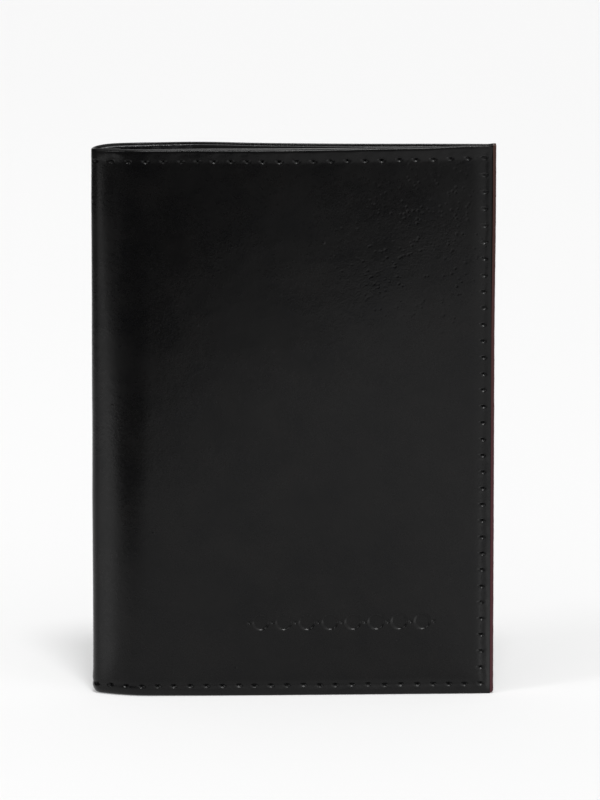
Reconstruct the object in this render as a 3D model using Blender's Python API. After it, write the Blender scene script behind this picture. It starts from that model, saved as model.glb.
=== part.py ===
"""Leather document cover, closed and standing on its bottom edges.

The spine is at -X, the fore edge at +X, the front cover faces -Y and +Z is up.
The origin is on the floor, under the middle of the closed cover.

Each layer is drawn flat first, with its outline measured along the outside of the
leather and up the cover. It gets its thickness, and is then wrapped around the round
spine at its own depth. Distances along are 0 in the middle of the spine, positive in
the front cover and negative in the rear cover.
"""

import math

import bmesh
import bpy
from mathutils import Vector

MM = 0.001

# Whole cover, closed
COVER_WIDTH = 100.0 * MM
COVER_HEIGHT = 138.0 * MM
SPINE_THICKNESS = 12.6 * MM
NOSE_RADIUS = 3.4 * MM
SHOULDER_RADIUS = 22.0 * MM

# Layers, from the outside in
LEATHER = 0.9 * MM
STIFFENER = 0.3 * MM
LINING = 0.2 * MM
POCKET = 0.4 * MM
CARD_SLOT = 0.4 * MM

# Clearances
LAYER_GAP = 0.1 * MM
FOLD_GAP = 0.3 * MM
CLOSED_GAP = 0.3 * MM

# Edges and margins
FORE_BEAD = 0.8 * MM
BEAD_END_INSET = 0.4 * MM
RIM_ROUNDING = 0.25 * MM
FLAP_ROUNDING = 0.1 * MM
RIM_STEP = 0.5 * MM
SEAM_MARGIN = 3.1 * MM
BOARD_INSET = 1.9 * MM
BOARD_CORNER = 3.0 * MM
SPINE_STRIP_INSET = 0.8 * MM

# Pocket flaps and card slots
POCKET_WIDTH = 74.0 * MM
SCOOP_RADIUS = 26.0 * MM
SCOOP_DEPTH = 6.0 * MM
SLOT_WIDTH = 58.0 * MM
SLOT_FORE_INSET = 13.5 * MM
SLOT_BOTTOM_INSET = 1.2 * MM
LOWER_SLOT_HEIGHT = 72.0 * MM
SLOT_STEP = 18.0 * MM
SLOT_CORNER = 2.5 * MM

# Facets
NOSE_STEPS = 8
SHOULDER_STEPS = 8
CORNER_STEPS = 6
SCOOP_STEPS = 16
BEAD_STEPS = 8
ROUNDING_STEPS = 2

# The depths at which the layers start
STIFFENER_DEPTH = LEATHER + LAYER_GAP
LINING_DEPTH = STIFFENER_DEPTH + STIFFENER + LAYER_GAP
POCKET_DEPTH = LINING_DEPTH + LINING + LAYER_GAP
COVER_STACK = POCKET_DEPTH + POCKET
UPPER_SLOT_DEPTH = COVER_STACK + LAYER_GAP
LOWER_SLOT_DEPTH = UPPER_SLOT_DEPTH + CARD_SLOT + LAYER_GAP

# The plan: a tight round nose, a wide shoulder, and a flat cover that
# runs from the shoulder to the fore edge, where the two covers meet
HALF_SPINE = SPINE_THICKNESS / 2
HALF_FORE_EDGE = COVER_STACK + CLOSED_GAP / 2
RADIUS_GAIN = SHOULDER_RADIUS - NOSE_RADIUS
NOSE_TURN = math.asin((SHOULDER_RADIUS - HALF_SPINE) / RADIUS_GAIN)
NOSE_CENTRE = Vector((NOSE_RADIUS, 0))
SHOULDER_CENTRE = NOSE_CENTRE + RADIUS_GAIN * Vector((math.cos(NOSE_TURN), math.sin(NOSE_TURN)))
FORE_REACH = Vector((COVER_WIDTH, -HALF_FORE_EDGE)) - SHOULDER_CENTRE
FLAT_RUN = math.sqrt(FORE_REACH.length_squared - SHOULDER_RADIUS ** 2)
FLAT_TURN = math.pi + math.atan2(FORE_REACH.y, FORE_REACH.x) - math.acos(
    SHOULDER_RADIUS / FORE_REACH.length)

# Distances along the outside of the leather, from the middle of the spine
FOLD_AT = NOSE_RADIUS * NOSE_TURN
FLAT_AT = FOLD_AT + SHOULDER_RADIUS * (FLAT_TURN - NOSE_TURN)
EDGE_AT = FLAT_AT + FLAT_RUN
LAYERS_END = EDGE_AT - FORE_BEAD - LAYER_GAP

REAR = -1
FRONT = 1


def clear_scene():
    """Remove the objects of the startup scene."""
    for old in list(bpy.data.objects):
        bpy.data.objects.remove(old, do_unlink=True)


def make_material(name, colour, roughness):
    """A plain Principled material."""
    material = bpy.data.materials.new(name)
    material.use_nodes = True
    shader = material.node_tree.nodes["Principled BSDF"]
    shader.inputs["Base Color"].default_value = (*colour, 1)
    shader.inputs["Roughness"].default_value = roughness
    return material


def wrapped(along, depth, up):
    """The place of a point of a flat layer once the cover is closed."""
    reach = abs(along)
    if reach <= FOLD_AT:
        turn = reach / NOSE_RADIUS
        centre = NOSE_CENTRE
        radius = NOSE_RADIUS
    else:
        turn = NOSE_TURN + (min(reach, FLAT_AT) - FOLD_AT) / SHOULDER_RADIUS
        centre = SHOULDER_CENTRE
        radius = SHOULDER_RADIUS
    outward = Vector((-math.cos(turn), -math.sin(turn)))
    ahead = Vector((math.sin(turn), -math.cos(turn)))
    plan = centre + outward * (radius - depth) + ahead * max(reach - FLAT_AT, 0)
    side = math.copysign(1, along)
    return Vector((plan.x - COVER_WIDTH / 2, side * plan.y, up))


def bend_stations():
    """Where a layer is cut across, so that it can follow the round spine."""
    stations = [0]
    for step in range(1, NOSE_STEPS + 1):
        stations.append(FOLD_AT * step / NOSE_STEPS)
    for step in range(1, SHOULDER_STEPS + 1):
        stations.append(FOLD_AT + (FLAT_AT - FOLD_AT) * step / SHOULDER_STEPS)
    return [-station for station in reversed(stations[1:])] + stations


def rounded_outline(corners):
    """The outline of right-angled corners, each given with its own radius."""
    outline = []
    for index, (corner, radius) in enumerate(corners):
        if not radius:
            outline.append(corner)
            continue
        arriving = (corner - corners[index - 1][0]).normalized()
        leaving = (corners[(index + 1) % len(corners)][0] - corner).normalized()
        centre = corner + radius * (leaving - arriving)
        for step in range(CORNER_STEPS + 1):
            turn = math.pi / 2 * step / CORNER_STEPS
            outline.append(centre - radius * (leaving * math.cos(turn) - arriving * math.sin(turn)))
    return outline


def rectangle(near, far, bottom, top, radius=0):
    """An upright rectangle from the spine side to the fore edge side."""
    corners = [
        (Vector((near, bottom)), radius),
        (Vector((far, bottom)), radius),
        (Vector((far, top)), radius),
        (Vector((near, top)), radius),
    ]
    return rounded_outline(corners)


def scooped_rectangle(near, far, bottom, top):
    """A rectangle whose spine side has a shallow finger scoop at mid-height."""
    middle = (bottom + top) / 2
    half_angle = math.acos(1 - SCOOP_DEPTH / SCOOP_RADIUS)
    scoop_centre = near + SCOOP_DEPTH - SCOOP_RADIUS
    outline = [Vector((near, bottom)), Vector((far, bottom)), Vector((far, top)), Vector((near, top))]
    for step in range(SCOOP_STEPS + 1):
        turn = half_angle * (1 - 2 * step / SCOOP_STEPS)
        outline.append(Vector((
            scoop_centre + SCOOP_RADIUS * math.cos(turn),
            middle + SCOOP_RADIUS * math.sin(turn),
        )))
    return outline


def flat_layer(outline, side, depth, thickness):
    """A flat sheet with the outline, cut across at the bend stations."""
    sheet = bmesh.new()
    rim = [sheet.verts.new((side * point.x, depth, point.y)) for point in outline]
    face = sheet.faces.new(rim)
    raised = bmesh.ops.extrude_face_region(sheet, geom=[face])["geom"]
    lifted = [part for part in raised if isinstance(part, bmesh.types.BMVert)]
    bmesh.ops.translate(sheet, verts=lifted, vec=(0, thickness, 0))
    places = [vertex.co.x for vertex in sheet.verts]
    for station in bend_stations():
        if min(places) < station < max(places):
            everything = sheet.verts[:] + sheet.edges[:] + sheet.faces[:]
            bmesh.ops.bisect_plane(
                sheet, geom=everything, plane_co=(station, 0, 0), plane_no=(1, 0, 0))
    bmesh.ops.recalc_face_normals(sheet, faces=sheet.faces[:])
    return sheet


def add_piece(name, shape, material, axis=None):
    """Make the object, hung on the fold axis that it turns about."""
    pivot = Vector(axis.matrix_world.translation) if axis else Vector()
    for vertex in shape.verts:
        vertex.co -= pivot
    mesh = bpy.data.meshes.new(name)
    shape.to_mesh(mesh)
    shape.free()
    mesh.shade_smooth()
    mesh.set_sharp_from_angle(angle=math.radians(30))
    mesh.materials.append(material)
    piece = bpy.data.objects.new(name, mesh)
    bpy.context.collection.objects.link(piece)
    piece.parent = axis
    return piece


def round_edges(piece, width):
    """Ease the sharp edges of a piece."""
    bevel = piece.modifiers.new("eased edges", "BEVEL")
    bevel.limit_method = "ANGLE"
    bevel.angle_limit = math.radians(50)
    bevel.width = width
    bevel.segments = ROUNDING_STEPS


def add_layer(name, outline, side, depth, thickness, material, axis=None):
    """A layer of the cover, wrapped into its closed shape."""
    sheet = flat_layer(outline, side, depth, thickness)
    for vertex in sheet.verts:
        vertex.co = wrapped(vertex.co.x, vertex.co.y, vertex.co.z)
    return add_piece(name, sheet, material, axis)


def add_fold_axis(name, side, parent=None):
    """The upright axis of a fold, on the outside of the leather."""
    axis = bpy.data.objects.new(name, None)
    bpy.context.collection.objects.link(axis)
    axis.empty_display_size = SPINE_THICKNESS
    place = wrapped(side * FOLD_AT, 0, 0)
    if parent:
        axis.parent = parent
        place -= parent.location
    axis.location = place
    bpy.context.view_layer.update()
    return axis


def add_cover_leather(name, side, material, axis=None):
    """The outer leather of one cover, from the fold to the fore edge."""
    outline = rectangle(FOLD_AT + FOLD_GAP / 2, LAYERS_END, 0, COVER_HEIGHT)
    skin = add_layer(name, outline, side, 0, LEATHER, material, axis)
    round_edges(skin, RIM_ROUNDING)


def add_board(name, side, material, axis=None):
    """The stiff board between leather and lining, inside the seams."""
    inset = SEAM_MARGIN + BOARD_INSET
    outline = rectangle(
        FLAT_AT + BOARD_INSET, EDGE_AT - inset, inset, COVER_HEIGHT - inset, BOARD_CORNER)
    add_layer(name, outline, side, STIFFENER_DEPTH, STIFFENER, material, axis)


def add_cover_lining(name, side, material, axis=None):
    """The thin lining of one cover, a step inside the leather's rims."""
    outline = rectangle(
        FOLD_AT + FOLD_GAP / 2, LAYERS_END, RIM_STEP, COVER_HEIGHT - RIM_STEP)
    add_layer(name, outline, side, LINING_DEPTH, LINING, material, axis)


def add_pocket(name, side, material, axis=None):
    """The pocket flap that a document's cover slips under, open towards the spine."""
    outline = scooped_rectangle(
        LAYERS_END - POCKET_WIDTH, LAYERS_END, RIM_STEP, COVER_HEIGHT - RIM_STEP)
    flap = add_layer(name, outline, side, POCKET_DEPTH, POCKET, material, axis)
    round_edges(flap, FLAP_ROUNDING)


def add_card_slot(name, side, depth, height, material, axis=None):
    """An upright card slot, sewn to the pocket flap and open at the top."""
    fore = EDGE_AT - SLOT_FORE_INSET
    bottom = RIM_STEP + SLOT_BOTTOM_INSET
    outline = rectangle(fore - SLOT_WIDTH, fore, bottom, bottom + height, SLOT_CORNER)
    slot = add_layer(name, outline, side, depth, CARD_SLOT, material, axis)
    round_edges(slot, FLAP_ROUNDING)


def add_fore_bead(name, side, material, axis=None):
    """The domed bead of edge paint over the layers' cut edges."""
    start = EDGE_AT - FORE_BEAD
    half_stack = COVER_STACK / 2
    profile = []
    for step in range(BEAD_STEPS + 1):
        turn = math.pi * step / BEAD_STEPS
        along = start + FORE_BEAD * math.sin(turn)
        profile.append((along, half_stack * (1 - math.cos(turn))))
    shape = bmesh.new()
    foot = [shape.verts.new(wrapped(side * along, depth, BEAD_END_INSET)) for along, depth in profile]
    raised = bmesh.ops.extrude_face_region(shape, geom=[shape.faces.new(foot)])["geom"]
    lifted = [part for part in raised if isinstance(part, bmesh.types.BMVert)]
    bmesh.ops.translate(shape, verts=lifted, vec=(0, 0, COVER_HEIGHT - 2 * BEAD_END_INSET))
    bmesh.ops.recalc_face_normals(shape, faces=shape.faces[:])
    add_piece(name, shape, material, axis)


def add_spine(leather, lining, board, axis):
    """The round middle of the cover, between the two folds."""
    edge = FOLD_AT - FOLD_GAP / 2
    skin = add_layer(
        "spine_leather", rectangle(-edge, edge, 0, COVER_HEIGHT), FRONT, 0, LEATHER, leather, axis)
    round_edges(skin, RIM_ROUNDING)
    strip_inset = SEAM_MARGIN + BOARD_INSET
    strip_edge = edge - SPINE_STRIP_INSET
    strip = rectangle(-strip_edge, strip_edge, strip_inset, COVER_HEIGHT - strip_inset)
    add_layer("spine_strip", strip, FRONT, STIFFENER_DEPTH, STIFFENER, board, axis)
    inside = rectangle(-edge, edge, RIM_STEP, COVER_HEIGHT - RIM_STEP)
    add_layer("spine_lining", inside, FRONT, LINING_DEPTH, LINING, lining, axis)


def build():
    """The rear cover stands still, the spine folds on it and the front cover on the spine."""
    clear_scene()
    leather = make_material("black glazed leather", (0.012, 0.012, 0.013), 0.3)
    pocket_leather = make_material("black pocket leather", (0.016, 0.016, 0.017), 0.42)
    lining = make_material("black lining cloth", (0.022, 0.022, 0.024), 0.8)
    board = make_material("grey board", (0.25, 0.23, 0.2), 0.85)
    edge_paint = make_material("red-brown edge paint", (0.062, 0.032, 0.027), 0.4)

    add_cover_leather("rear_leather", REAR, leather)
    add_board("rear_board", REAR, board)
    add_cover_lining("rear_lining", REAR, lining)
    add_pocket("rear_pocket", REAR, pocket_leather)
    add_card_slot("card_slot_upper", REAR, UPPER_SLOT_DEPTH, LOWER_SLOT_HEIGHT + SLOT_STEP, pocket_leather)
    add_card_slot("card_slot_lower", REAR, LOWER_SLOT_DEPTH, LOWER_SLOT_HEIGHT, pocket_leather)
    add_fore_bead("rear_edge_bead", REAR, edge_paint)

    rear_fold = add_fold_axis("rear_fold_axis", REAR)
    add_spine(leather, lining, board, rear_fold)

    front_fold = add_fold_axis("front_fold_axis", FRONT, rear_fold)
    add_cover_leather("front_leather", FRONT, leather, front_fold)
    add_board("front_board", FRONT, board, front_fold)
    add_cover_lining("front_lining", FRONT, lining, front_fold)
    add_pocket("front_pocket", FRONT, pocket_leather, front_fold)
    add_fore_bead("front_edge_bead", FRONT, edge_paint, front_fold)


build()
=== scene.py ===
"""Looks of the black leather document cover, standing closed on a white sweep.

Every sheet of the cover is laid out flat first, in millimetres along the leather and up
the cover, and is then wrapped round the spine as the CAD model's layers are. Distances
along are 0 in the middle of the spine, positive in front and negative behind. The flat
place of each vertex is kept as its UV, so grain, smudges and weave follow the leather.
"""

import math

import bmesh
import bpy
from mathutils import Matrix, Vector, kdtree, noise


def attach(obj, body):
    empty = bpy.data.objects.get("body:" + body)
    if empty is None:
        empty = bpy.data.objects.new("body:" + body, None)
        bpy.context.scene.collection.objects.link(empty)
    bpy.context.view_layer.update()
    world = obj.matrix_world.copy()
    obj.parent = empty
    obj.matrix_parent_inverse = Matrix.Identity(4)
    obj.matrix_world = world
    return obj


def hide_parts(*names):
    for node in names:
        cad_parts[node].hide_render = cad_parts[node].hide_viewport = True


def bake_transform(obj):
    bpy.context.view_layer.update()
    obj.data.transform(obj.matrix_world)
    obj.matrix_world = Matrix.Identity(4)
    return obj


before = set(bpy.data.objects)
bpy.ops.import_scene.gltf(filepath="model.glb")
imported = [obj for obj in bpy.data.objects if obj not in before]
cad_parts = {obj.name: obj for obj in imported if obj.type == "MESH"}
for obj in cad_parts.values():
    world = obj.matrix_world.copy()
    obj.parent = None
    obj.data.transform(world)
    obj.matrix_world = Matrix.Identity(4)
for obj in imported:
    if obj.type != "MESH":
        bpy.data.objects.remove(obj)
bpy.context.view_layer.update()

MM = 0.001

# Sizes of the CAD model, in millimetres
COVER_WIDTH = 100.0
COVER_HEIGHT = 138.0
SPINE_THICKNESS = 12.6
NOSE_RADIUS = 3.4
SHOULDER_RADIUS = 22.0
LEATHER = 0.9
STIFFENER = 0.3
LINING = 0.2
POCKET = 0.4
CARD_SLOT = 0.4
LAYER_GAP = 0.1
CLOSED_GAP = 0.3
FORE_BEAD = 0.8
RIM_STEP = 0.5
POCKET_WIDTH = 74.0
SCOOP_RADIUS = 26.0
SCOOP_DEPTH = 6.0
SLOT_WIDTH = 58.0
SLOT_FORE_INSET = 13.5
SLOT_BOTTOM_INSET = 1.2
LOWER_SLOT_HEIGHT = 72.0
SLOT_STEP = 18.0
SLOT_CORNER = 2.5

LINING_DEPTH = LEATHER + STIFFENER + 2 * LAYER_GAP
POCKET_DEPTH = LINING_DEPTH + LINING + LAYER_GAP
COVER_STACK = POCKET_DEPTH + POCKET
UPPER_SLOT_DEPTH = COVER_STACK + LAYER_GAP
LOWER_SLOT_DEPTH = UPPER_SLOT_DEPTH + CARD_SLOT + LAYER_GAP

# The plan of the closed cover: nose, shoulder and flat
RADIUS_GAIN = SHOULDER_RADIUS - NOSE_RADIUS
NOSE_TURN = math.asin((SHOULDER_RADIUS - SPINE_THICKNESS / 2) / RADIUS_GAIN)
NOSE_CENTRE = Vector((NOSE_RADIUS, 0))
SHOULDER_CENTRE = NOSE_CENTRE + RADIUS_GAIN * Vector((math.cos(NOSE_TURN), math.sin(NOSE_TURN)))
FORE_REACH = Vector((COVER_WIDTH, -COVER_STACK - CLOSED_GAP / 2)) - SHOULDER_CENTRE
FLAT_TURN = math.pi + math.atan2(FORE_REACH.y, FORE_REACH.x) - math.acos(
    SHOULDER_RADIUS / FORE_REACH.length)
FOLD_AT = NOSE_RADIUS * NOSE_TURN
FLAT_AT = FOLD_AT + SHOULDER_RADIUS * (FLAT_TURN - NOSE_TURN)
EDGE_AT = FLAT_AT + math.sqrt(FORE_REACH.length_squared - SHOULDER_RADIUS ** 2)
LAYERS_END = EDGE_AT - FORE_BEAD - LAYER_GAP

# The seam along the top, the fore edge and the bottom of each cover, in millimetres
SEAM_TOP = COVER_HEIGHT - 3.0
SEAM_BOTTOM = 2.7
SEAM_FORE = EDGE_AT - 3.0
SPINE_HOLE = -1.47
TOP_STITCHES = 24
BOTTOM_STITCHES = 25
REAR_STITCHES = 23
FORE_STITCHES = 32
CONE_DEPTH = 0.52
CONE_RADIUS = 0.7
CONE_WIDTH = 0.72
CONE_STEEP = 2.0
HOLE_DEPTH = 0.2
HOLE_RADIUS = 0.14
LIP_HEIGHT = 0.025
LIP_RADIUS = 0.88
GROOVE_DEPTH = 0.07
GROOVE_RADIUS = 0.6
SEAM_PULL = 0.26
SEAM_FLANK = 2.4
DEEPEST = 0.86
THREAD_RADIUS = 0.16
THREAD_CREST = -0.19
THREAD_SINK = 0.5

# Where the skin's grid is fine: from the rims, from the spine's middle and from the fore edge
FINE_RIM = 4.8
FINE_SPINE = 9.0
FINE_FORE = 5.2

# The seam around a card slot
SLOT_SEAM_INSET = 1.5
SLOT_PITCH = 3.3

# Rounding of the rims, and how low the front's worn top rim starts to bend in
SKIN_RIM = 0.44
SKIN_FORE_RIM = 0.12
FLAP_RIM = 0.12
TOP_BEVEL = 0.55

# The blind-tooled band low on the front
BAND_NEAR = 41.6
BAND_FAR = 87.6
BAND_MIDDLE = 18.6
DISCS = 8
DISC_RADIUS = 2.1
DOT_RADIUS = 0.55
TOOL_WALL = 0.44
TOOL_DEPTH = 0.34

# The middle and reach, in metres, of the grain that hands have roughened on the front
HELD_ALONG = 0.086
HELD_UP = 0.114
HELD_REACH = 0.027

REAR = -1
FRONT = 1
COVERS = {REAR: "rear_cover", FRONT: "front_cover"}


# Helpers for shapes

def wrapped(along, depth, up, side=0):
    """The place, in metres, of a point of a flat sheet once the cover is closed."""
    reach = abs(along)
    if reach <= FOLD_AT:
        turn = reach / NOSE_RADIUS
        centre = NOSE_CENTRE
        radius = NOSE_RADIUS
    else:
        turn = NOSE_TURN + (min(reach, FLAT_AT) - FOLD_AT) / SHOULDER_RADIUS
        centre = SHOULDER_CENTRE
        radius = SHOULDER_RADIUS
    flat = max(reach - FLAT_AT, 0)
    across = centre.x - math.cos(turn) * (radius - depth) + math.sin(turn) * flat
    out = centre.y - math.sin(turn) * (radius - depth) - math.cos(turn) * flat
    facing = math.copysign(1, along or side)
    return Vector((across - COVER_WIDTH / 2, facing * out, up)) * MM


def hump(distance, reach):
    """A smooth hump that is 1 at distance 0 and fades out over the reach."""
    return math.exp(-(distance / reach) ** 2)


def ramp(value, low, high):
    """A smooth step from 0 at low to 1 at high."""
    share = min(max((value - low) / (high - low), 0), 1)
    return share * share * (3 - 2 * share)


def mottle(along, up, size, shift=0):
    """Smooth irregular values between -1 and 1, with lumps of about the given size."""
    return noise.noise(Vector((along / size, up / size, shift)))


def steps(start, end, size):
    """Evenly spaced values from start to end, no further apart than size."""
    count = max(1, math.ceil(abs(end - start) / size - 1e-6))
    return [start + (end - start) * index / count for index in range(count + 1)]


def joined(*runs):
    """Runs of values, each starting where the last ended, as one list."""
    values = list(runs[0])
    for run in runs[1:]:
        values += run[1:]
    return values


def rim_steps(rounding):
    """Distances from a rim that draw its rounding well."""
    return [rounding * share for share in (0, 0.05, 0.17, 0.36, 0.63, 1)]


def rimmed(start, end, size, rounding):
    """Values from start to end, closer together at both rounded rims."""
    rim = rim_steps(rounding)
    inner = steps(start + rounding, end - rounding, size)
    return joined([start + step for step in rim], inner, [end - step for step in reversed(rim)])


def rounded_drop(distance, rounding):
    """How far a rounded rim lies below the face at a distance from the rim."""
    if distance >= rounding:
        return 0
    return rounding - math.sqrt(max(rounding ** 2 - (rounding - distance) ** 2, 0))


# The seam

def jittered(along, up):
    """A needle hole, a little off its even place."""
    drift = 1.05 * hump(along - 26, 16) * ramp(up, 100, COVER_HEIGHT)
    drift -= 0.3 * ramp(along, 90, 96) * (1 - ramp(up, 4, 60))
    return Vector((
        along + drift + 0.22 * mottle(along, up, 1.7, 5), up + 0.12 * mottle(along, up, 1.7, 9)))


def hole_run(start, end, count):
    """Needle holes at even distances from start to end."""
    return [jittered(*start.lerp(end, index / count)) for index in range(count + 1)]


def cover_holes(side):
    """The run of needle holes of one cover: along the bottom, up the fore edge, along the top."""
    top = TOP_STITCHES if side == FRONT else REAR_STITCHES
    bottom = BOTTOM_STITCHES if side == FRONT else REAR_STITCHES
    spine_bottom = Vector((SPINE_HOLE, SEAM_BOTTOM))
    spine_top = Vector((SPINE_HOLE, SEAM_TOP))
    fore_bottom = Vector((side * SEAM_FORE, SEAM_BOTTOM))
    fore_top = Vector((side * SEAM_FORE, SEAM_TOP))
    return joined(
        hole_run(spine_bottom, fore_bottom, bottom),
        hole_run(fore_bottom, fore_top, FORE_STITCHES),
        hole_run(fore_top, spine_top, top))


HOLES = {side: cover_holes(side) for side in (REAR, FRONT)}


def hole_tree(runs):
    """A quick way to find the nearest needle hole."""
    places = [place for run in runs for place in run]
    tree = kdtree.KDTree(len(places))
    for index, place in enumerate(places):
        tree.insert((place.x, place.y, 0), index)
    tree.balance()
    return tree


SEAM_HOLES = hole_tree(HOLES.values())


def hole_distance(tree, along, up):
    """How far a point is from the nearest needle hole."""
    return tree.find((along, up, 0))[2]


def funnel_distance(tree, along, up):
    """How far a point is from a needle hole, whose funnel is wide, and steeper above the hole."""
    hole = tree.find((along, up, 0))[0]
    above = up - hole.y
    return math.hypot((along - hole.x) * CONE_WIDTH, above * CONE_STEEP if above > 0 else above)


def seam_distance(reach, up):
    """How far a point is from the seam of its cover."""
    beyond = max(reach - SEAM_FORE, 0)
    fore = math.hypot(reach - SEAM_FORE, max(up - SEAM_TOP, SEAM_BOTTOM - up, 0))
    return min(fore, math.hypot(up - SEAM_TOP, beyond), math.hypot(up - SEAM_BOTTOM, beyond))


# Relief of each piece, in millimetres proud of its smooth face

def tooled_band(along, up):
    """The depth share, 0 to 1, of a row of pressed discs with a punched dot between each two."""
    if not BAND_NEAR - DOT_RADIUS < along < BAND_FAR + DOT_RADIUS:
        return 0
    pitch = (BAND_FAR - BAND_NEAR) / DISCS
    place = ((along - BAND_NEAR) / pitch) % 1 - 0.5
    disc = DISC_RADIUS - math.hypot(place * pitch, up - BAND_MIDDLE)
    dot = DOT_RADIUS - math.hypot((abs(place) - 0.5) * pitch, up - BAND_MIDDLE)
    return min(max(disc, dot, 0) / TOOL_WALL, 1)


def seam_pull(reach, up):
    """How far, as a share, the seam has pulled the leather in, unevenly on its two sides."""
    above = up - SEAM_TOP + 0.6
    beyond = reach - SEAM_FORE - 0.4
    top = 1 - ramp(-above, 0, 60) if above < 0 else max(1 - above / 2.8, 0)
    top *= 1.8 * ramp(reach, 3, 9)
    if beyond < 0:
        fore = (0.7 + 0.3 * ramp(up, 20, 60)) * max(1 + beyond / 2.8, 0) ** 1.5
    else:
        fore = (0.7 + 0.3 * ramp(up, 20, 60)) + 0.5 * (1 - ramp(up, 10, 90)) * min(beyond / 1.3, 1)
    low = max(1 - abs(up - SEAM_BOTTOM) / SEAM_FLANK, 0) ** 1.5
    return top + fore + low * (1 - ramp(reach, SEAM_FORE - 3, SEAM_FORE))


def skin_relief(along, up):
    """The outer leather: broad waves, the stitched groove, needle holes and the tooled band."""
    reach = abs(along)
    rim = min(up, COVER_HEIGHT - up, LAYERS_END - reach)
    height = 0.10 * mottle(along, up, 31) + 0.045 * mottle(along, up, 12, 3)
    height *= ramp(rim, 0, 6)
    groove = GROOVE_DEPTH * (1 - 0.7 * ramp(up, 30, 110))
    height -= groove * hump(seam_distance(reach, up), GROOVE_RADIUS)
    height -= SEAM_PULL * seam_pull(reach, up)
    hole = funnel_distance(SEAM_HOLES, along, up)
    height -= HOLE_DEPTH * hump(hole, HOLE_RADIUS)
    height -= CONE_DEPTH * (1.0 + 0.4 * mottle(along, up, 3.1, 31)) * max(1 - hole / CONE_RADIUS, 0)
    height += LIP_HEIGHT * hump(hole - LIP_RADIUS, 0.2) * (1 + 0.8 * mottle(along, up, 0.9, 27))
    height += hump(rim - 1.3, 0.8) * 0.08 * mottle(along, up, 2.3, 7)
    height -= 0.4 * max(1 - math.hypot(LAYERS_END - reach, COVER_HEIGHT - up) / 1.1, 0)
    height -= 0.28 * hump(reach - 6, 4.5) * (1 - ramp(COVER_HEIGHT - up, 0, 1.5))
    height += 0.32 * hump(reach, 4.5) * (1 - ramp(up, 2.6, 6.0))
    height += 0.8 * hump(along - 48, 24) * ramp(up, COVER_HEIGHT - 40, COVER_HEIGHT)
    height -= 0.2 * (1 - min(LAYERS_END - reach, 1.1) / 1.1) ** 2
    return max(height - TOOL_DEPTH * tooled_band(along, up), -DEEPEST)


def pocket_relief(along, up):
    """A pocket flap: a creased line along its open edge and the seam's groove."""
    open_edge = abs(along) - pocket_near(up)
    height = 0.03 * mottle(along, up, 9, 11) - 0.09 * hump(open_edge - 1.8, 0.22)
    height -= 0.06 * hump(seam_distance(abs(along), up), GROOVE_RADIUS)
    return height - 0.2 * hump(hole_distance(SEAM_HOLES, along, up), HOLE_RADIUS)


def slot_relief(top):
    """A card slot: a creased line under its open top edge."""
    def relief(along, up):
        return 0.025 * mottle(along, up, 8, 13) - 0.09 * hump(top - up - 1.6, 0.22)
    return relief


def lining_relief(along, up):
    """The lining cloth: a little slack, and gathered along its top and bottom edges."""
    edge = min(up - RIM_STEP, COVER_HEIGHT - RIM_STEP - up)
    free = ramp(abs(along), 1.5, 4) * ramp(LAYERS_END - POCKET_WIDTH - abs(along), 0.5, 3)
    gathers = mottle(along, up, 0.9, 17) + 0.6 * mottle(along, up / 2, 2.2, 19)
    slack = 0.12 * (1 + mottle(along, up, 8, 21))
    roll = ramp(abs(along), 3.5, 5.5) * (1 - ramp(abs(along), 14, 19)) * hump(edge - 0.28, 0.38)
    roll *= (0.34 + 0.22 * mottle(along, up / 3, 0.8, 29)) * ramp(up, COVER_HEIGHT - 6, COVER_HEIGHT - 4)
    return free * (slack + hump(edge, 1.6) * (0.2 + 0.24 * gathers) + roll)


def settled(along, depth, up, side=0):
    """Where a point of the worn cover lies: it sags and stretches a little at its corners."""
    reach = abs(along)
    facing = math.copysign(1, along or side)
    hem = (rounded_drop(up, 2.1) / 2.1) ** 0.7
    high = ramp(up, COVER_HEIGHT - 22, COVER_HEIGHT)
    rise = high * (0.22 * ramp(reach, 60, 101) - 0.5 * hump(reach, 4) - 0.1 * hump(reach - 14, 10))
    if facing == REAR:
        rise += high * (0.22 * hump(reach - 30, 11) + 0.3 * ramp(reach, 100.4, 102.6))
    else:
        rise += high * (0.2 * ramp(reach, 84, 97) - 0.1 * hump(reach - 50, 18))
    stretch = (0.08 + 0.24 * ramp(up, 90, 125)) * ramp(reach, 60, 100)
    tuck = 1.5 * hem * hump(reach, 24)
    if facing == FRONT:
        bevel = 0.2 + 0.12 * hump(reach - 38, 20) + 0.24 * hump(reach - 6, 2.4)
        bevel *= ramp(reach, 1.5, 4) * (1 - ramp(reach, 84, 97))
        tuck += bevel * max(1 - (COVER_HEIGHT - up) / TOP_BEVEL, 0)
    return along + facing * stretch, depth + tuck, up + rise, side


# Sheets

def pocket_near(up):
    """The open edge of a pocket flap, with its shallow finger scoop at mid-height."""
    rise = abs(up - COVER_HEIGHT / 2)
    cut = SCOOP_DEPTH - SCOOP_RADIUS + math.sqrt(max(SCOOP_RADIUS ** 2 - rise ** 2, 0))
    return LAYERS_END - POCKET_WIDTH + max(cut, 0)


def grid_faces(sheet, rows, columns_at, depth):
    """A grid of quads at one depth of a flat sheet, and its points row by row."""
    grid = [[sheet.verts.new((along, depth, up)) for along in columns_at(up)] for up in rows]
    for lower, upper in zip(grid, grid[1:]):
        for index in range(len(lower) - 1):
            sheet.faces.new((lower[index], lower[index + 1], upper[index + 1], upper[index]))
    return grid


def outline_of(grid):
    """The points around the border of a grid, in order."""
    left = [row[0] for row in grid]
    right = [row[-1] for row in grid]
    return grid[0][:-1] + right[:-1] + list(reversed(grid[-1][1:])) + list(reversed(left[1:]))


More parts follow.
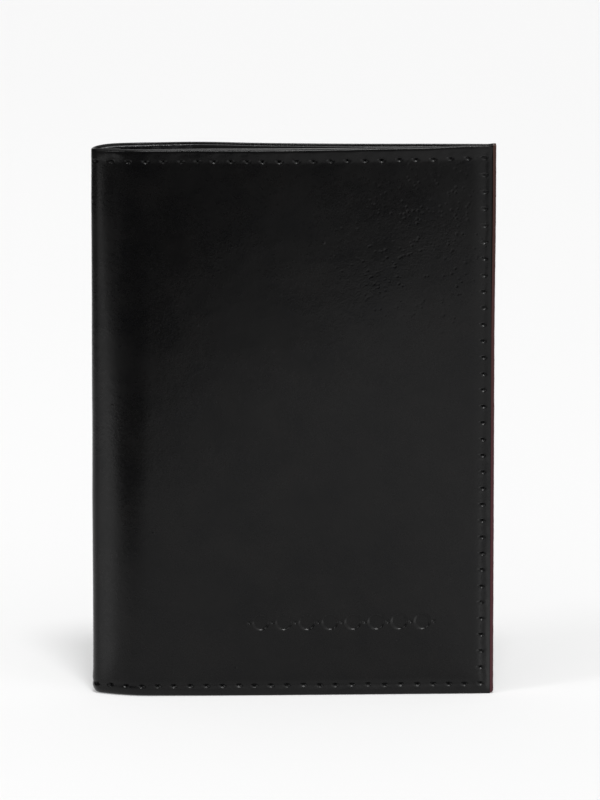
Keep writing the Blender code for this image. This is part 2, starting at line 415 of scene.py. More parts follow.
def flat_sheet(rows, columns_at, thickness):
    """A closed flat sheet: an outer grid, an inner grid and the wall between them."""
    sheet = bmesh.new()
    outer = outline_of(grid_faces(sheet, rows, columns_at, 0))
    inner = outline_of(grid_faces(sheet, rows, columns_at, thickness))
    for index in range(len(outer)):
        after = (index + 1) % len(outer)
        sheet.faces.new((outer[index], outer[after], inner[after], inner[index]))
    return sheet


def refine(sheet, wanted, cuts, direction=None):
    """Cut the wanted outer faces finer, across one direction or both."""
    edges = set()
    for face in sheet.faces:
        middle = face.calc_center_median()
        if middle.y == 0 and wanted(middle.x, middle.z):
            edges.update(face.edges)
    if direction:
        edges = {edge for edge in edges
                 if abs((edge.verts[0].co - edge.verts[1].co).normalized().dot(direction)) > 0.7}
    bmesh.ops.subdivide_edges(sheet, edges=list(edges), cuts=cuts, use_grid_fill=True)


def round_corner(along, up, limits, radius):
    """Pull a point of a square corner onto a rounded one."""
    near, far, bottom, top = limits
    across = max(along - (far - radius), near + radius - along, 0)
    rise = max(up - (top - radius), bottom + radius - up, 0)
    if not across or not rise:
        return along, up
    pull = 1 - max(across, rise) / math.hypot(across, rise)
    toward_middle = math.copysign(1, (near + far) / 2 - along)
    toward_centre = math.copysign(1, (bottom + top) / 2 - up)
    return along + toward_middle * across * pull, up + toward_centre * rise * pull


def add_sheet(name, sheet, finish, side, depth, thickness, rim, relief, seen_outside, corner=None):
    """Shape a flat sheet, wrap it to its place and make its object."""
    flat = sheet.loops.layers.uv.new("flat")
    for vertex in sheet.verts:
        vertex.co.x *= side
    for face in sheet.faces:
        face.smooth = True
        for loop in face.loops:
            loop[flat].uv = (loop.vert.co.x * MM, loop.vert.co.z * MM)
    for edge in sheet.edges:
        if abs(edge.verts[0].co.x) < 1e-6 and abs(edge.verts[1].co.x) < 1e-6:
            edge.smooth = False
    for vertex in sheet.verts:
        along, inward, up = vertex.co
        outside = inward < thickness / 2
        drop = rim(abs(along), up)
        proud = relief(along, up) if outside == seen_outside else 0
        if outside:
            place = depth + drop - proud
        else:
            place = depth + thickness - drop + proud
        if corner:
            along, up = round_corner(along, up, *corner)
        vertex.co = wrapped(*settled(along, place, up, side))
    bmesh.ops.remove_doubles(sheet, verts=sheet.verts[:], dist=1e-7)
    bmesh.ops.recalc_face_normals(sheet, faces=sheet.faces[:])
    mesh = bpy.data.meshes.new(name)
    sheet.to_mesh(mesh)
    sheet.free()
    mesh.materials.append(finish)
    piece = bpy.data.objects.new(name, mesh)
    bpy.context.scene.collection.objects.link(piece)
    return piece


# Finishes

def add_node(tree, kind, inputs=None, **settings):
    """Add a node, set it up, and link or fill its inputs."""
    new = tree.nodes.new(kind)
    for key, value in settings.items():
        setattr(new, key, value)
    for key, value in (inputs or {}).items():
        if isinstance(value, bpy.types.NodeSocket):
            tree.links.new(value, new.inputs[key])
        else:
            new.inputs[key].default_value = value
    return new


def start_finish(name):
    """A new material, its node tree and its shader."""
    finish = bpy.data.materials.new(name)
    finish.use_nodes = True
    tree = finish.node_tree
    shader = tree.nodes["Principled BSDF"]
    return finish, tree, shader


def flat_place(tree):
    """The flat place of a point of a sheet, in metres along and up."""
    return add_node(tree, "ShaderNodeUVMap", uv_map="flat").outputs["UV"]


def grain(tree, place, size, detail=3.0, roughness=0.55, shift=(0, 0, 0)):
    """Noise whose lumps are about the given size in metres."""
    moved = add_node(tree, "ShaderNodeMapping", {"Vector": place, "Location": shift})
    return add_node(tree, "ShaderNodeTexNoise", {
        "Vector": moved.outputs["Vector"], "Scale": 1 / size, "Detail": detail,
        "Roughness": roughness}).outputs["Fac"]


def remap(tree, value, low, high, new_low, new_high):
    """Stretch a value's range to a new one."""
    return add_node(tree, "ShaderNodeMapRange", {
        "Value": value, "From Min": low, "From Max": high, "To Min": new_low,
        "To Max": new_high}, clamp=True).outputs["Result"]


def maths(tree, operation, first, second):
    """One sum on two values."""
    return add_node(
        tree, "ShaderNodeMath", {0: first, 1: second}, operation=operation).outputs["Value"]


def two_tone(tree, share, first, second):
    """A colour between two, by a share."""
    mix = add_node(tree, "ShaderNodeMix", {"Factor": share}, data_type="RGBA")
    mix.inputs["A"].default_value = (*first, 1)
    mix.inputs["B"].default_value = (*second, 1)
    return mix.outputs["Result"]


def raised(tree, shader, *layers):
    """Bump from layers of (height value, distance in metres), one on another."""
    normal = None
    for height, distance in layers:
        inputs = {"Height": height, "Distance": distance, "Strength": 1.0}
        if normal:
            inputs["Normal"] = normal
        normal = add_node(tree, "ShaderNodeBump", inputs).outputs["Normal"]
    tree.links.new(normal, shader.inputs["Normal"])


def leather_finish(name, dark, light, gloss, pebble):
    """Dyed leather: pebbled grain, cloudy polish and faint tone changes."""
    finish, tree, shader = start_finish(name)
    place = flat_place(tree)
    cells = add_node(tree, "ShaderNodeTexVoronoi", {
        "Vector": place, "Scale": 2300.0, "Randomness": 1.0}, feature="SMOOTH_F1").outputs["Distance"]
    clouds = grain(tree, place, 0.030, 4.0, 0.6)
    patches = remap(tree, grain(tree, place, 0.022, 3.0, 0.6, (0.3, 0.1, 0)), 0.42, 0.62, 0.25, 1.0)
    fine = grain(tree, place, 0.0011, 5.0, 0.6)
    tone = grain(tree, place, 0.012, 4.0, 0.6, (0.7, 0.2, 0))
    spots = add_node(tree, "ShaderNodeTexVoronoi", {"Vector": place, "Scale": 150.0}).outputs
    sound = maths(tree, "GREATER_THAN", spots["Color"], 0.3)
    nicks = maths(tree, "MAXIMUM", sound, remap(tree, spots["Distance"], 0.02, 0.06, 0, 1))
    held = add_node(tree, "ShaderNodeMapping", {
        "Vector": place, "Scale": (1 / HELD_REACH,) * 3,
        "Location": (-HELD_ALONG / HELD_REACH, -HELD_UP / HELD_REACH, 0)})
    held = add_node(tree, "ShaderNodeTexGradient", {
        "Vector": held.outputs["Vector"]}, gradient_type="SPHERICAL").outputs["Fac"]
    held = maths(tree, "MULTIPLY", remap(tree, held, 0, 0.6, 0, 1),
                 remap(tree, grain(tree, place, 0.005, 2.0, 0.5, (0.5, 0.4, 0)), 0.44, 0.6, 0.1, 1.0))
    specks = add_node(tree, "ShaderNodeTexVoronoi", {
        "Vector": place, "Scale": 760.0}).outputs["Distance"]
    specks = maths(tree, "MULTIPLY", remap(tree, specks, 0.12, 0.36, 1, 0), held)
    tree.links.new(two_tone(tree, remap(tree, tone, 0.35, 0.65, 0, 1), dark, light),
                   shader.inputs["Base Color"])
    polish = remap(tree, clouds, 0.35, 0.68, gloss[0], gloss[1])
    tree.links.new(maths(tree, "ADD", polish, remap(tree, fine, 0.3, 0.7, -0.04, 0.04)),
                   shader.inputs["Roughness"])
    shader.inputs["Specular IOR Level"].default_value = 0.2
    raised(tree, shader,
           (maths(tree, "MULTIPLY", cells, patches), pebble),
           (fine, pebble * 0.7),
           (nicks, 0.00012),
           (specks, 0.00007),
           (clouds, 0.00025))
    return finish


def cloth_finish():
    """Satin lining cloth: a fine weave with a soft shine along one thread."""
    finish, tree, shader = start_finish("black satin lining")
    place = flat_place(tree)
    warp = add_node(tree, "ShaderNodeTexWave", {
        "Vector": place, "Scale": 620.0, "Distortion": 0.6, "Detail": 1.0},
        wave_type="BANDS", bands_direction="X").outputs["Fac"]
    weft = add_node(tree, "ShaderNodeTexWave", {
        "Vector": place, "Scale": 500.0, "Distortion": 0.6, "Detail": 1.0},
        wave_type="BANDS", bands_direction="Y").outputs["Fac"]
    weave = maths(tree, "MULTIPLY", warp, weft)
    slub = grain(tree, place, 0.004, 4.0, 0.6)
    tree.links.new(two_tone(tree, slub, (0.010, 0.010, 0.011), (0.024, 0.024, 0.026)),
                   shader.inputs["Base Color"])
    tree.links.new(remap(tree, weave, 0, 1, 0.36, 0.2), shader.inputs["Roughness"])
    shader.inputs["Specular IOR Level"].default_value = 0.7
    shader.inputs["Sheen Weight"].default_value = 0.05
    shader.inputs["Sheen Roughness"].default_value = 0.4
    raised(tree, shader, (weave, 0.00003), (slub, 0.00008))
    return finish


def thread_finish():
    """Black polyester thread, with its strands wound across its length."""
    finish, tree, shader = start_finish("black sewing thread")
    place = add_node(tree, "ShaderNodeTexCoord").outputs["Object"]
    strands = add_node(tree, "ShaderNodeTexWave", {
        "Vector": place, "Scale": 900.0, "Distortion": 0.5},
        wave_type="BANDS", bands_direction="DIAGONAL").outputs["Fac"]
    fuzz = grain(tree, place, 0.0004)
    tree.links.new(two_tone(tree, fuzz, (0.003, 0.003, 0.003), (0.007, 0.007, 0.0075)),
                   shader.inputs["Base Color"])
    tree.links.new(remap(tree, strands, 0, 1, 0.7, 0.55), shader.inputs["Roughness"])
    shader.inputs["Specular IOR Level"].default_value = 0.15
    raised(tree, shader, (strands, 0.00004), (fuzz, 0.00002))
    return finish


def edge_paint_finish():
    """Red-brown edge paint, a little uneven, and rubbed browner towards its top."""
    finish, tree, shader = start_finish("red-brown edge paint")
    place = add_node(tree, "ShaderNodeTexCoord").outputs["Object"]
    patches = grain(tree, place, 0.006, 4.0, 0.6)
    streaks = grain(tree, place, 0.0009, 4.0, 0.6)
    mixed = maths(tree, "ADD", maths(tree, "MULTIPLY", patches, 0.7),
                  maths(tree, "MULTIPLY", streaks, 0.3))
    height = add_node(tree, "ShaderNodeSeparateXYZ", {"Vector": place}).outputs["Z"]
    rubbed = maths(tree, "ADD", height, maths(tree, "MULTIPLY", mixed, 0.09))
    tree.links.new(two_tone(tree, remap(tree, rubbed, 0.10, 0.19, 0, 1),
                            (0.050, 0.013, 0.016), (0.038, 0.018, 0.012)),
                   shader.inputs["Base Color"])
    tree.links.new(remap(tree, streaks, 0.3, 0.7, 0.4, 0.6), shader.inputs["Roughness"])
    shader.inputs["Specular IOR Level"].default_value = 0.15
    raised(tree, shader, (streaks, 0.00004), (patches, 0.00008))
    return finish


def board_finish():
    """Grey pressed board, with fibres and flecks."""
    finish, tree, shader = start_finish("grey pressed board")
    place = add_node(tree, "ShaderNodeTexCoord").outputs["Object"]
    fibres = add_node(tree, "ShaderNodeMapping", {"Vector": place, "Scale": (1, 1, 0.2)})
    strands = grain(tree, fibres.outputs["Vector"], 0.0006, 5.0, 0.7)
    flecks = grain(tree, place, 0.002, 3.0, 0.7, (0.4, 0.2, 0.1))
    mixed = maths(tree, "ADD", maths(tree, "MULTIPLY", strands, 0.6),
                  maths(tree, "MULTIPLY", flecks, 0.4))
    tree.links.new(two_tone(tree, remap(tree, mixed, 0.36, 0.64, 0, 1),
                            (0.17, 0.155, 0.13), (0.30, 0.28, 0.24)),
                   shader.inputs["Base Color"])
    shader.inputs["Roughness"].default_value = 0.85
    raised(tree, shader, (strands, 0.00005))
    return finish


LEATHER_BLACK = leather_finish(
    "black glazed leather", (0.0024, 0.0024, 0.0026), (0.0041, 0.0039, 0.0039),
    (0.24, 0.34), 0.000022)
POCKET_BLACK = leather_finish(
    "black pocket leather", (0.0070, 0.0070, 0.0074), (0.0110, 0.0106, 0.0104),
    (0.42, 0.55), 0.00003)
LINING_BLACK = cloth_finish()
THREAD_BLACK = thread_finish()
PAINT_RED = edge_paint_finish()
BOARD_GREY = board_finish()


# The leather skin

def skin_rows():
    """Heights of the skin's grid: fine at the rims and seams, wide between."""
    low = joined(
        rim_steps(SKIN_RIM), steps(SKIN_RIM, 1.2, 0.3), steps(1.2, FINE_RIM, 0.33))
    high = [COVER_HEIGHT - height for height in reversed(low)]
    return joined(low, steps(FINE_RIM, COVER_HEIGHT - FINE_RIM, 1.03), high)


def skin_columns():
    """Distances along of the skin's grid: fine at the round spine and the fore seam."""
    fine_start = EDGE_AT - FINE_FORE
    start = [0, 0.08, 0.2, 0.36, 0.56, 0.8]
    rim = [LAYERS_END - step for step in reversed(rim_steps(SKIN_FORE_RIM))]
    return joined(
        start, steps(0.8, FINE_SPINE, 0.34), steps(FINE_SPINE, fine_start, 1.03),
        steps(fine_start, LAYERS_END - SKIN_FORE_RIM, 0.33), rim)


def skin_rim(reach, up):
    """How far the outer face falls away at the skin's rounded rims."""
    edge = rounded_drop(min(up, COVER_HEIGHT - up), SKIN_RIM)
    return max(edge, rounded_drop(LAYERS_END - reach, SKIN_FORE_RIM))


def in_cross_seam(reach, up):
    """Whether a face lies by the top or bottom seam, where the grid is wide."""
    edge = min(up, COVER_HEIGHT - up)
    return 1.2 < edge < FINE_RIM and FINE_SPINE < reach < EDGE_AT - FINE_FORE


def in_fore_seam(reach, up):
    """Whether a face lies by the fore seam, where the grid is wide."""
    return (EDGE_AT - 4.8 < reach < LAYERS_END - SKIN_FORE_RIM
            and FINE_RIM < up < COVER_HEIGHT - FINE_RIM)


def in_band(along, up):
    """Whether a face lies in the tooled band."""
    return BAND_NEAR - 1.5 < along < BAND_FAR + 1.5 and abs(up - BAND_MIDDLE) < DISC_RADIUS + 0.6


def add_skin(side, name):
    """One half of the outer leather, from the middle of the spine to the fore edge."""
    columns = skin_columns()
    sheet = flat_sheet(skin_rows(), lambda up: columns, LEATHER)
    refine(sheet, in_cross_seam, 2, Vector((1, 0, 0)))
    refine(sheet, in_fore_seam, 2, Vector((0, 0, 1)))
    if side == FRONT:
        refine(sheet, in_band, 6)

    def near_hole(reach, up):
        return hole_distance(SEAM_HOLES, side * reach, up) < 0.95 and reach > 0.8
    refine(sheet, near_hole, 2)
    return add_sheet(
        name, sheet, LEATHER_BLACK, side, 0, LEATHER, skin_rim, skin_relief, True)


# Lining, pocket flaps and card slots

def add_lining(side, name):
    """One half of the lining cloth."""
    columns = joined(steps(0, 28, 0.2), steps(28, LAYERS_END, 1.6))
    rows = joined(
        steps(RIM_STEP, 4, 0.3), steps(4, COVER_HEIGHT - 4, 1.2),
        steps(COVER_HEIGHT - 4, COVER_HEIGHT - RIM_STEP, 0.18))
    sheet = flat_sheet(rows, lambda up: columns, LINING)
    return add_sheet(
        name, sheet, LINING_BLACK, side, LINING_DEPTH, LINING,
        lambda reach, up: 0, lining_relief, False)


def pocket_rim(reach, up):
    """The eased edges of a pocket flap."""
    edge = min(up - RIM_STEP, COVER_HEIGHT - RIM_STEP - up, LAYERS_END - reach, reach - pocket_near(up))
    return rounded_drop(max(edge, 0), FLAP_RIM)


def add_pocket(side, name):
    """A pocket flap with a finger scoop in its open edge."""
    rows = rimmed(RIM_STEP, COVER_HEIGHT - RIM_STEP, 0.9, FLAP_RIM)
    shares = [share / POCKET_WIDTH for share in joined(
        rim_steps(FLAP_RIM), steps(FLAP_RIM, 3, 0.24), steps(3, POCKET_WIDTH - 6, 1.1),
        steps(POCKET_WIDTH - 6, POCKET_WIDTH - FLAP_RIM, 0.5),
        [POCKET_WIDTH - step for step in reversed(rim_steps(FLAP_RIM))])]

    def columns_at(up):
        near = pocket_near(up)
        return [near + (LAYERS_END - near) * share for share in shares]
    sheet = flat_sheet(rows, columns_at, POCKET)
    return add_sheet(
        name, sheet, POCKET_BLACK, side, POCKET_DEPTH, POCKET, pocket_rim, pocket_relief, False)


def add_card_slot(name, depth, height):
    """A card slot on the rear pocket flap, open at the top."""
    far = EDGE_AT - SLOT_FORE_INSET
    near = far - SLOT_WIDTH
    bottom = RIM_STEP + SLOT_BOTTOM_INSET
    top = bottom + height
    columns = rimmed(near, far, 0.9, FLAP_RIM)
    low = rimmed(bottom, top - 3, 0.9, FLAP_RIM)[:-len(rim_steps(FLAP_RIM)) + 1]
    rows = joined(low, steps(low[-1], top - FLAP_RIM, 0.24),
                  [top - step for step in reversed(rim_steps(FLAP_RIM))])

    def rim(reach, up):
        edge = min(up - bottom, top - up, reach - near, far - reach)
        return rounded_drop(max(edge, 0), FLAP_RIM)
    sheet = flat_sheet(rows, lambda up: columns, CARD_SLOT)
    corner = ((-far, -near, bottom, top), SLOT_CORNER)
    return add_sheet(
        name, sheet, POCKET_BLACK, REAR, depth, CARD_SLOT, rim, slot_relief(top), False, corner)


# Edge paint

def add_edge_paint(side, name):
    """The domed bead of paint on a cover's fore edge, rounded at both ends."""
    start = LAYERS_END + 0.02
    bead = EDGE_AT - start
    half_stack = COVER_STACK / 2
    inset = 0.26
    low = 0.15
    high = COVER_HEIGHT - 0.02
    turns = [math.pi * step / 14 for step in range(15)]
    rows = joined(
        [low + step for step in rim_steps(0.5)], steps(low + 0.5, 3.0, 0.3),
        steps(3.0, high - 0.2, 0.6), [high - step for step in reversed(rim_steps(0.2))])
    shape = bmesh.new()
    rings = []
    for up in rows:
        fullness = 1 - 0.7 * rounded_drop(up - low, 0.5) / 0.5 - 0.3 * rounded_drop(high - up, 0.2) / 0.2
        ring = []
        for turn in turns:
            bulge = bead * fullness * math.sin(turn) * (0.96 + 0.04 * mottle(turn, up, 2.1, 23 + side))
            depth = inset + half_stack - (half_stack - inset) * math.cos(turn) * (0.9 + 0.1 * fullness)
            ring.append(shape.verts.new(wrapped(*settled(side * (start + bulge), depth, up, side))))
        rings.append(ring)
    for lower, upper in zip(rings, rings[1:]):
        for index in range(len(lower)):
            after = (index + 1) % len(lower)
            shape.faces.new((lower[index], lower[after], upper[after], upper[index]))
    shape.faces.new(rings[0])
    shape.faces.new(rings[-1])
    bmesh.ops.recalc_face_normals(shape, faces=shape.faces[:])
    mesh = bpy.data.meshes.new(name)
    shape.to_mesh(mesh)
    shape.free()
    mesh.shade_smooth()
    mesh.set_sharp_from_angle(angle=math.radians(50))
    mesh.materials.append(PAINT_RED)
    piece = bpy.data.objects.new(name, mesh)
    bpy.context.scene.collection.objects.link(piece)
    return piece


# Stitches

def named_value(tree, kind, name):
    """A value carried by the points of a seam."""
    return add_node(tree, "GeometryNodeInputNamedAttribute", {"Name": name},
                    data_type=kind).outputs["Attribute"]


def stitch_tree():
    """A node tree that sews one arched stitch of thread over each point of a seam."""
    tree = bpy.data.node_groups.new("stitches on a seam", "GeometryNodeTree")
    sockets = {}
    tree.interface.new_socket("Geometry", in_out="INPUT", socket_type="NodeSocketGeometry")
    for name in ("Thread Radius", "Crest", "Sink"):
        sockets[name] = tree.interface.new_socket(name, in_out="INPUT", socket_type="NodeSocketFloat")
    sockets["Thread"] = tree.interface.new_socket("Thread", in_out="INPUT", socket_type="NodeSocketMaterial")
    tree.interface.new_socket("Geometry", in_out="OUTPUT", socket_type="NodeSocketGeometry")
    source = add_node(tree, "NodeGroupInput").outputs

    twice = add_node(tree, "ShaderNodeMath", {0: source["Crest"], 1: 2.0}, operation="MULTIPLY")
    crest = add_node(tree, "ShaderNodeMath", {0: twice.outputs[0], 1: source["Sink"]}, operation="ADD")
    below = add_node(tree, "ShaderNodeMath", {0: source["Sink"], 1: -1.0}, operation="MULTIPLY")
    points = {}
    for name, across, height in (
            ("Start", -0.47, below), ("Middle", 0.0, crest), ("End", 0.47, below)):
        place = add_node(tree, "ShaderNodeCombineXYZ", {"X": across, "Z": height.outputs[0]})
        points[name] = place.outputs["Vector"]
    arch = add_node(tree, "GeometryNodeCurveQuadraticBezier", {"Resolution": 9, **points})
    ring = add_node(tree, "GeometryNodeCurvePrimitiveCircle", {
        "Resolution": 8, "Radius": source["Thread Radius"]})
    tube = add_node(tree, "GeometryNodeCurveToMesh", {
        "Curve": arch.outputs["Curve"], "Profile Curve": ring.outputs["Curve"], "Fill Caps": True})
    split = add_node(tree, "ShaderNodeSeparateXYZ", {
        "Vector": add_node(tree, "GeometryNodeInputPosition").outputs["Position"]})
    kept = add_node(tree, "GeometryNodeStoreNamedAttribute", {
        "Geometry": tube.outputs["Mesh"], "Name": "share", "Value": split.outputs["X"]},
        data_type="FLOAT", domain="POINT")
    turned = add_node(tree, "FunctionNodeAxesToRotation", {
        "Primary Axis": named_value(tree, "FLOAT_VECTOR", "outward"),
        "Secondary Axis": named_value(tree, "FLOAT_VECTOR", "forward")},
        primary_axis="Z", secondary_axis="X")
    sized = add_node(tree, "ShaderNodeCombineXYZ", {
        "X": named_value(tree, "FLOAT", "length"), "Y": 1.0, "Z": 1.0})
    sewn = add_node(tree, "GeometryNodeInstanceOnPoints", {
        "Points": source["Geometry"], "Instance": kept.outputs["Geometry"],
        "Rotation": turned.outputs["Rotation"], "Scale": sized.outputs["Vector"]})
    real = add_node(tree, "GeometryNodeRealizeInstances", {"Geometry": sewn.outputs["Instances"]})
    share = named_value(tree, "FLOAT", "share")
    squared = add_node(tree, "ShaderNodeMath", {0: share, 1: share}, operation="MULTIPLY")
    fall = add_node(tree, "ShaderNodeMath", {0: squared.outputs[0], 1: -4.0, 2: 1.0},
                    operation="MULTIPLY_ADD")
    rise = add_node(tree, "ShaderNodeMath", {
        0: fall.outputs[0], 1: named_value(tree, "FLOAT", "bulge")}, operation="MULTIPLY")
    offset = add_node(tree, "ShaderNodeVectorMath", {
        0: named_value(tree, "FLOAT_VECTOR", "outward"), "Scale": rise.outputs[0]}, operation="SCALE")
    arched = add_node(tree, "GeometryNodeSetPosition", {
        "Geometry": real.outputs["Geometry"], "Offset": offset.outputs["Vector"]})
    smooth = add_node(tree, "GeometryNodeSetShadeSmooth", {"Geometry": arched.outputs["Geometry"]})
    dressed = add_node(tree, "GeometryNodeSetMaterial", {
        "Geometry": smooth.outputs["Geometry"], "Material": source["Thread"]})
    add_node(tree, "NodeGroupOutput", {"Geometry": dressed.outputs["Geometry"]})
    return tree, {name: socket.identifier for name, socket in sockets.items()}


STITCHES, STITCH_INPUTS = stitch_tree()


def stitch_place(start, end, depth, facing):
    """The middle, direction, outward side, length and bulge of one stitch, in metres."""
    middle = (start + end) / 2
    first = wrapped(*settled(start.x, depth, start.y))
    last = wrapped(*settled(end.x, depth, end.y))
    surface = wrapped(*settled(middle.x, depth, middle.y))
    outward = facing * (wrapped(*settled(middle.x, depth - 0.1, middle.y)) - surface).normalized()
    centre = (first + last) / 2
    return {
        "place": centre, "forward": (last - first).normalized(), "outward": outward,
        "length": (last - first).length, "bulge": max((surface - centre).dot(outward), 0)}


def add_stitches(name, runs):
    """Sew every run of needle holes, given as (holes, depth, facing)."""
    sewn = []
    for holes, depth, facing in runs:
        for start, end in zip(holes, holes[1:]):
            at = depth((start + end) / 2) if callable(depth) else depth
            sewn.append(stitch_place(start, end, at, facing))
    mesh = bpy.data.meshes.new(name)
    mesh.from_pydata([stitch["place"] for stitch in sewn], [], [])
    for key, kind in (("forward", "FLOAT_VECTOR"), ("outward", "FLOAT_VECTOR"),
                      ("length", "FLOAT"), ("bulge", "FLOAT")):
        values = mesh.attributes.new(key, kind, "POINT").data
        for value, stitch in zip(values, sewn):
            if kind == "FLOAT":
                value.value = stitch[key]
            else:
                value.vector = stitch[key]
    seam = bpy.data.objects.new(name, mesh)
    bpy.context.scene.collection.objects.link(seam)
    sewing = seam.modifiers.new("sewing", "NODES")
    sewing.node_group = STITCHES
    sewing[STITCH_INPUTS["Thread Radius"]] = THREAD_RADIUS * MM
    sewing[STITCH_INPUTS["Crest"]] = THREAD_CREST * MM
    sewing[STITCH_INPUTS["Sink"]] = THREAD_SINK * MM
    sewing[STITCH_INPUTS["Thread"]] = THREAD_BLACK
    finished = bpy.data.meshes.new_from_object(
        seam.evaluated_get(bpy.context.evaluated_depsgraph_get()))
    seam.modifiers.remove(sewing)
    seam.data = finished
    finished.name = name
    return seam


def outer_depth(place):
    """How deep the outer leather lies at its seam."""
    return SEAM_PULL * seam_pull(abs(place.x), place.y)


def inner_depth(place):
    """How deep the innermost sewn layer's face is: pocket flap or lining."""
    if abs(place.x) > pocket_near(place.y):
        return COVER_STACK
    return LINING_DEPTH + LINING


def slot_sides():
    """Where the two upright seams of the card slots lie, as distances along."""
    far = -(EDGE_AT - SLOT_FORE_INSET - SLOT_SEAM_INSET)
    return far, far + SLOT_WIDTH - 2 * SLOT_SEAM_INSET


def slot_holes(top):
    """The needle holes around the two sides and the bottom of a card slot."""
    far, near = slot_sides()
    bottom = RIM_STEP + SLOT_BOTTOM_INSET + SLOT_SEAM_INSET
    rise = round((top - bottom) / SLOT_PITCH)
    return joined(
        hole_run(Vector((near, top)), Vector((near, bottom)), rise),
        hole_run(Vector((near, bottom)), Vector((far, bottom)), round(SLOT_WIDTH / SLOT_PITCH)),
        hole_run(Vector((far, bottom)), Vector((far, top)), rise))


# The assembly

def bend(piece):
    """Bake a soft half's place into its mesh; the piece is attached to neither cover."""
    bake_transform(piece)


def dress_cover(side, word):
    """All the shown pieces of one cover."""
    skin = add_skin(side, word + "_skin")
    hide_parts(word + "_leather", "spine_leather")
    bend(skin)

    lining = add_lining(side, word + "_lining_cloth")
    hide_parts(word + "_lining", "spine_lining")
    bend(lining)

    pocket = add_pocket(side, word + "_pocket_flap")
    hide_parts(word + "_pocket")
    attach(pocket, COVERS[side])

    paint = add_edge_paint(side, word + "_edge_paint")
    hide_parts(word + "_edge_bead")
    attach(paint, COVERS[side])

    thread = add_stitches(word + "_seam_thread", [
        (HOLES[side], outer_depth, 1), (HOLES[side], inner_depth, -1)])
    bend(thread)


def dress_card_slots():
    """The two stepped card slots on the rear pocket flap."""
    upper = add_card_slot("upper_card_slot", UPPER_SLOT_DEPTH, LOWER_SLOT_HEIGHT + SLOT_STEP)
    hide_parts("card_slot_upper")
    lower = add_card_slot("lower_card_slot", LOWER_SLOT_DEPTH, LOWER_SLOT_HEIGHT)
    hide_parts("card_slot_lower")
    low_top = RIM_STEP + SLOT_BOTTOM_INSET + LOWER_SLOT_HEIGHT
    sides = [(slot_holes(low_top - 0.6), LOWER_SLOT_DEPTH + CARD_SLOT, -1)]
    for along in slot_sides():
        run = hole_run(Vector((along, low_top + 1.2)), Vector((along, low_top + SLOT_STEP - 0.8)), 5)
        sides.append((run, UPPER_SLOT_DEPTH + CARD_SLOT, -1))
    thread = add_stitches("card_slot_thread", sides)
    for piece in (upper, lower, thread):
        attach(piece, COVERS[REAR])


def dress_boards():
    """The hidden boards keep their CAD shape and get their own finish."""
    for name in ("front_board", "rear_board", "spine_strip"):
        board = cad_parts[name]
        for slot in board.material_slots:
            slot.material = BOARD_GREY


# Stage, light and camera

def add_panel(name, place, aim, width, height):
    """A flat stage panel that faces a point."""
    mesh = bpy.data.meshes.new(name)
    half_width = width / 2
    half_height = height / 2
    mesh.from_pydata([
        (-half_width, -half_height, 0), (half_width, -half_height, 0),
        (half_width, half_height, 0), (-half_width, half_height, 0)], [], [(0, 1, 2, 3)])
    panel = bpy.data.objects.new(name, mesh)
    bpy.context.scene.collection.objects.link(panel)
    panel.location = place
    panel.rotation_euler = (Vector(place) - Vector(aim)).to_track_quat("Z", "Y").to_euler()
    return panel


def add_floor():
    """A wide pale floor just under the cover."""
    floor = add_panel("studio floor", (0, 0, -0.00005), (0, 0, -1), 14, 14)
    finish, tree, shader = start_finish("pale floor")
    place = add_node(tree, "ShaderNodeTexCoord").outputs["Object"]
    tone = grain(tree, place, 0.8, 2.0)
    tree.links.new(two_tone(tree, tone, (0.59, 0.59, 0.59), (0.61, 0.61, 0.61)),
                   shader.inputs["Base Color"])
    shader.inputs["Emission Color"].default_value = (1, 1, 1, 1)
    shader.inputs["Emission Strength"].default_value = 0.24
    shader.inputs["Roughness"].default_value = 1.0
    shader.inputs["Specular IOR Level"].default_value = 0.0
    floor.data.materials.append(finish)


def add_card(name, corners, tone, glow=0.0):
    """A flat studio card, by its corners, that only reflections see."""
    mesh = bpy.data.meshes.new(name)
    mesh.from_pydata(corners, [], [range(len(corners))])
    card = bpy.data.objects.new(name, mesh)
    bpy.context.scene.collection.objects.link(card)
    finish, tree, shader = start_finish(name)
    shader.inputs["Base Color"].default_value = (tone, tone, tone, 1)
    shader.inputs["Emission Color"].default_value = (1, 1, 1, 1)
    shader.inputs["Emission Strength"].default_value = glow
    shader.inputs["Roughness"].default_value = 1.0
    shader.inputs["Specular IOR Level"].default_value = 0.0
    card.data.materials.append(finish)
    card.visible_camera = False
    card.visible_diffuse = False
    card.visible_shadow = False


def add_front_card():
    """The unlit part of the studio in front; its lower edge is the soft dark edge on the face."""
    lower = [
        (-0.142, 0), (-0.085, 0), (-0.033, 0.034), (-0.009, 0.067), (0.016, 0.080),
        (0.035, 0.084), (0.070, 0.10), (0.085, 0.16)]
    upper = [(0.085, 0.80), (-0.50, 0.80), (-0.50, 0.36)]
    add_card("front dark card", [(across, -0.15, up) for across, up in lower + upper], 0.002)


def add_low_card(name, corners, glow):
    """A card low over the floor that only reflections see: a glowing one puts a painted highlight on the
    leather, a grey one a painted shade where the floor's reflection would be brighter.
    """
    add_card(name, [(across, out, 0.0002) for across, out in corners], 0.6, glow)


def wedge(apex, first, last, near, far):
    """The corners of a wedge of floor between two bearings from a point, left of straight ahead."""
    return [(apex[0] - reach * math.sin(math.radians(bearing)),
             apex[1] - reach * math.cos(math.radians(bearing)))
            for bearing, reach in ((first, near), (first, far), (last, far), (last, near))]


def add_softbox(name, place, aim, width, height, power):
    """A rectangular softbox that faces a point."""
    light = bpy.data.lights.new(name, "AREA")
    light.shape = "RECTANGLE"
    light.size = width
    light.size_y = height
    light.energy = power
    lamp = bpy.data.objects.new(name, light)
    bpy.context.scene.collection.objects.link(lamp)
    lamp.location = place
    lamp.rotation_euler = (Vector(place) - Vector(aim)).to_track_quat("Z", "Y").to_euler()
    return lamp


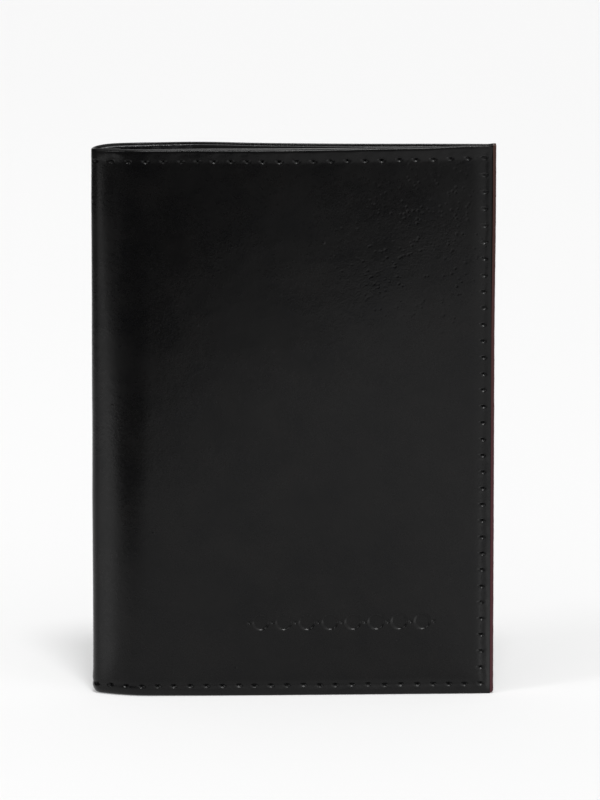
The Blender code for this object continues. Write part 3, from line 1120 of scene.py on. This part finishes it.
def add_sunlight(name, place, strength, width):
    """Even light from far away, towards the cover, from a source as wide as an angle."""
    light = bpy.data.lights.new(name, "SUN")
    light.energy = strength
    light.angle = math.radians(width)
    lamp = bpy.data.objects.new(name, light)
    bpy.context.scene.collection.objects.link(lamp)
    lamp.rotation_euler = Vector(place).to_track_quat("Z", "Y").to_euler()
    return lamp


def light_stage():
    """Soft light from above and the left, a pale surround, and cards that only reflections see: dark and
    grey ones as painted shade, glowing ones as painted highlights.
    """
    world = bpy.data.worlds.new("pale surround")
    bpy.context.scene.world = world
    world.use_nodes = True
    tree = world.node_tree
    tree.nodes.clear()
    path = add_node(tree, "ShaderNodeLightPath")
    seen = maths(tree, "MAXIMUM", path.outputs["Is Camera Ray"], path.outputs["Is Glossy Ray"])
    seen = maths(tree, "MAXIMUM", seen, path.outputs["Is Transmission Ray"])
    strength = remap(tree, seen, 0, 1, 0.40, 1.0)
    sky = add_node(tree, "ShaderNodeBackground", {
        "Color": (0.955, 0.955, 0.955, 1), "Strength": strength})
    add_node(tree, "ShaderNodeOutputWorld", {"Surface": sky.outputs["Background"]})
    add_sunlight("wide soft light", (0.15, -1.0, 1.25), 0.75, 70)
    add_sunlight("key light", (0.06, -0.5, 1.0), 2.0, 12.5)
    add_softbox("left softbox", (-1.2, -0.85, 1.25), (0, 0, 0.1), 0.35, 0.35, 6)
    add_front_card()
    # A dark card seen only in reflections: painted shade in the reflections on the spine.
    add_card("left dark card", [
        (-0.5, -0.25, 0), (-0.5, 0.75, 0), (-0.5, 0.75, 0.9), (-0.5, -0.25, 0.9)], 0.002)
    # Cards seen only in reflections: the glowing ones paint highlights, the left one on the spine's shoulder
    # and the right one by the lower fore edge; the grey one is painted shade that dims the floor's
    # reflection on the lower face.
    add_low_card("left glowing highlight card", wedge((-0.047, -0.004), 42, 66, 0.01, 0.9), 1.1)
    add_low_card("right glowing highlight card", wedge((0.049, -0.002), -18, -75, 0.005, 0.2), 1.6)
    add_low_card("grey painted shade card", [(-0.07, -0.01), (-0.07, -0.36), (0.045, -0.36), (0.045, -0.01)], 0.0)


def add_camera():
    """The camera of the photograph: far away, slightly above, with a long lens."""
    distance = 2.2
    pitch = math.radians(10.5188)
    turn = math.radians(0.3026)
    target = Vector((0, 0, 0.068))
    view = bpy.data.cameras.new("camera")
    view.sensor_width = 36
    view.lens = 398.03
    view.shift_x = 0.00854
    view.shift_y = 0.03013
    view.clip_end = 50
    camera = bpy.data.objects.new("camera", view)
    bpy.context.scene.collection.objects.link(camera)
    level = distance * math.cos(pitch)
    camera.location = target + Vector((
        level * math.sin(turn), -level * math.cos(turn), distance * math.sin(pitch)))
    camera.rotation_euler = (math.pi / 2 - pitch, 0, turn)
    bpy.context.scene.camera = camera


add_camera()
add_floor()
light_stage()
dress_cover(REAR, "rear")
dress_cover(FRONT, "front")
dress_card_slots()
dress_boards()
bpy.context.scene.view_settings.view_transform = "Standard"
